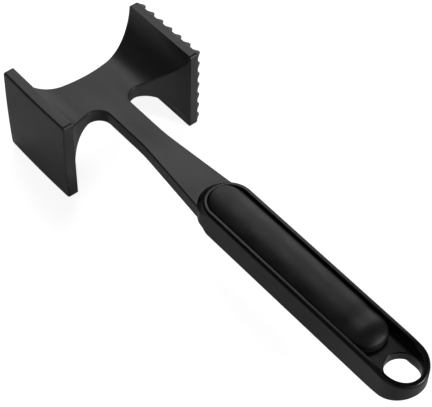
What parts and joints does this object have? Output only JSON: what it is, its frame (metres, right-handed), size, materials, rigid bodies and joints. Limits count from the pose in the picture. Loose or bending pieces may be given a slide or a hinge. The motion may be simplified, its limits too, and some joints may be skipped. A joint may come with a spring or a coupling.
{
  "type": "meat mallet",
  "caption": "Double-faced meat mallet: square smooth and toothed plates on a flared web, flat shank, and a long handle with soft grip pads and a hanging hole.",
  "frame": {"origin": "centre of the hanging hole, halfway through the handle's thickness", "axes": "+Y from the hanging hole along the handle to the head, +X towards the toothed face, +Z out of the upper side of the handle"},
  "size_m": [0.095, 0.2735, 0.0548],
  "materials": {
    "head": "satin black glass-filled nylon",
    "handle": "black moulded plastic, low gloss",
    "grip": "black soft-touch elastomer"
  },
  "bodies": {
    "root": {"mallet_head": "head", "handle_body": "handle", "upper_grip_pad": "grip", "lower_grip_pad": "grip"}
  },
  "joints": []
}
